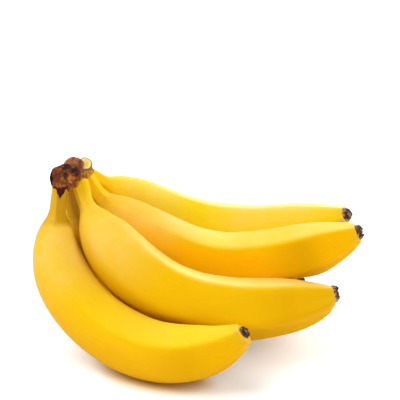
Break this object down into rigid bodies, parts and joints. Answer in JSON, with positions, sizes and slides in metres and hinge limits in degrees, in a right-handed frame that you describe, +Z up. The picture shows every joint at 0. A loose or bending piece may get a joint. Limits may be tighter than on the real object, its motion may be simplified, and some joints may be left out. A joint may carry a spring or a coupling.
{
  "type": "bunch of bananas",
  "caption": "Ripe yellow bananas joined at a dry brown crown, lying on their bellies with the dark blossom ends pointing away from it.",
  "frame": {"origin": "middle of the bounding box, on the surface that the bunch lies on", "axes": "+Z up, +X from the crown towards the blossom ends along the bunch, -Y towards the side that the first banana lies on"},
  "size_m": [0.1955, 0.1481, 0.1108],
  "materials": {
    "peel": "smooth ripe peel with a soft waxy sheen",
    "blossom": "dry, ragged and matt",
    "crown": "dried fibrous tissue, matt, dark along its rims",
    "cut_face": "freshly cut, moist and fine-grained"
  },
  "bodies": {
    "root": {"banana_1": "peel", "banana_2": "peel", "banana_3": "peel", "banana_4": "peel", "banana_5": "peel", "blossom_end_1": "blossom", "blossom_end_2": "blossom", "blossom_end_3": "blossom", "blossom_end_4": "blossom", "blossom_end_5": "blossom", "crown": "crown", "cut_stub": "cut_face"}
  },
  "joints": []
}
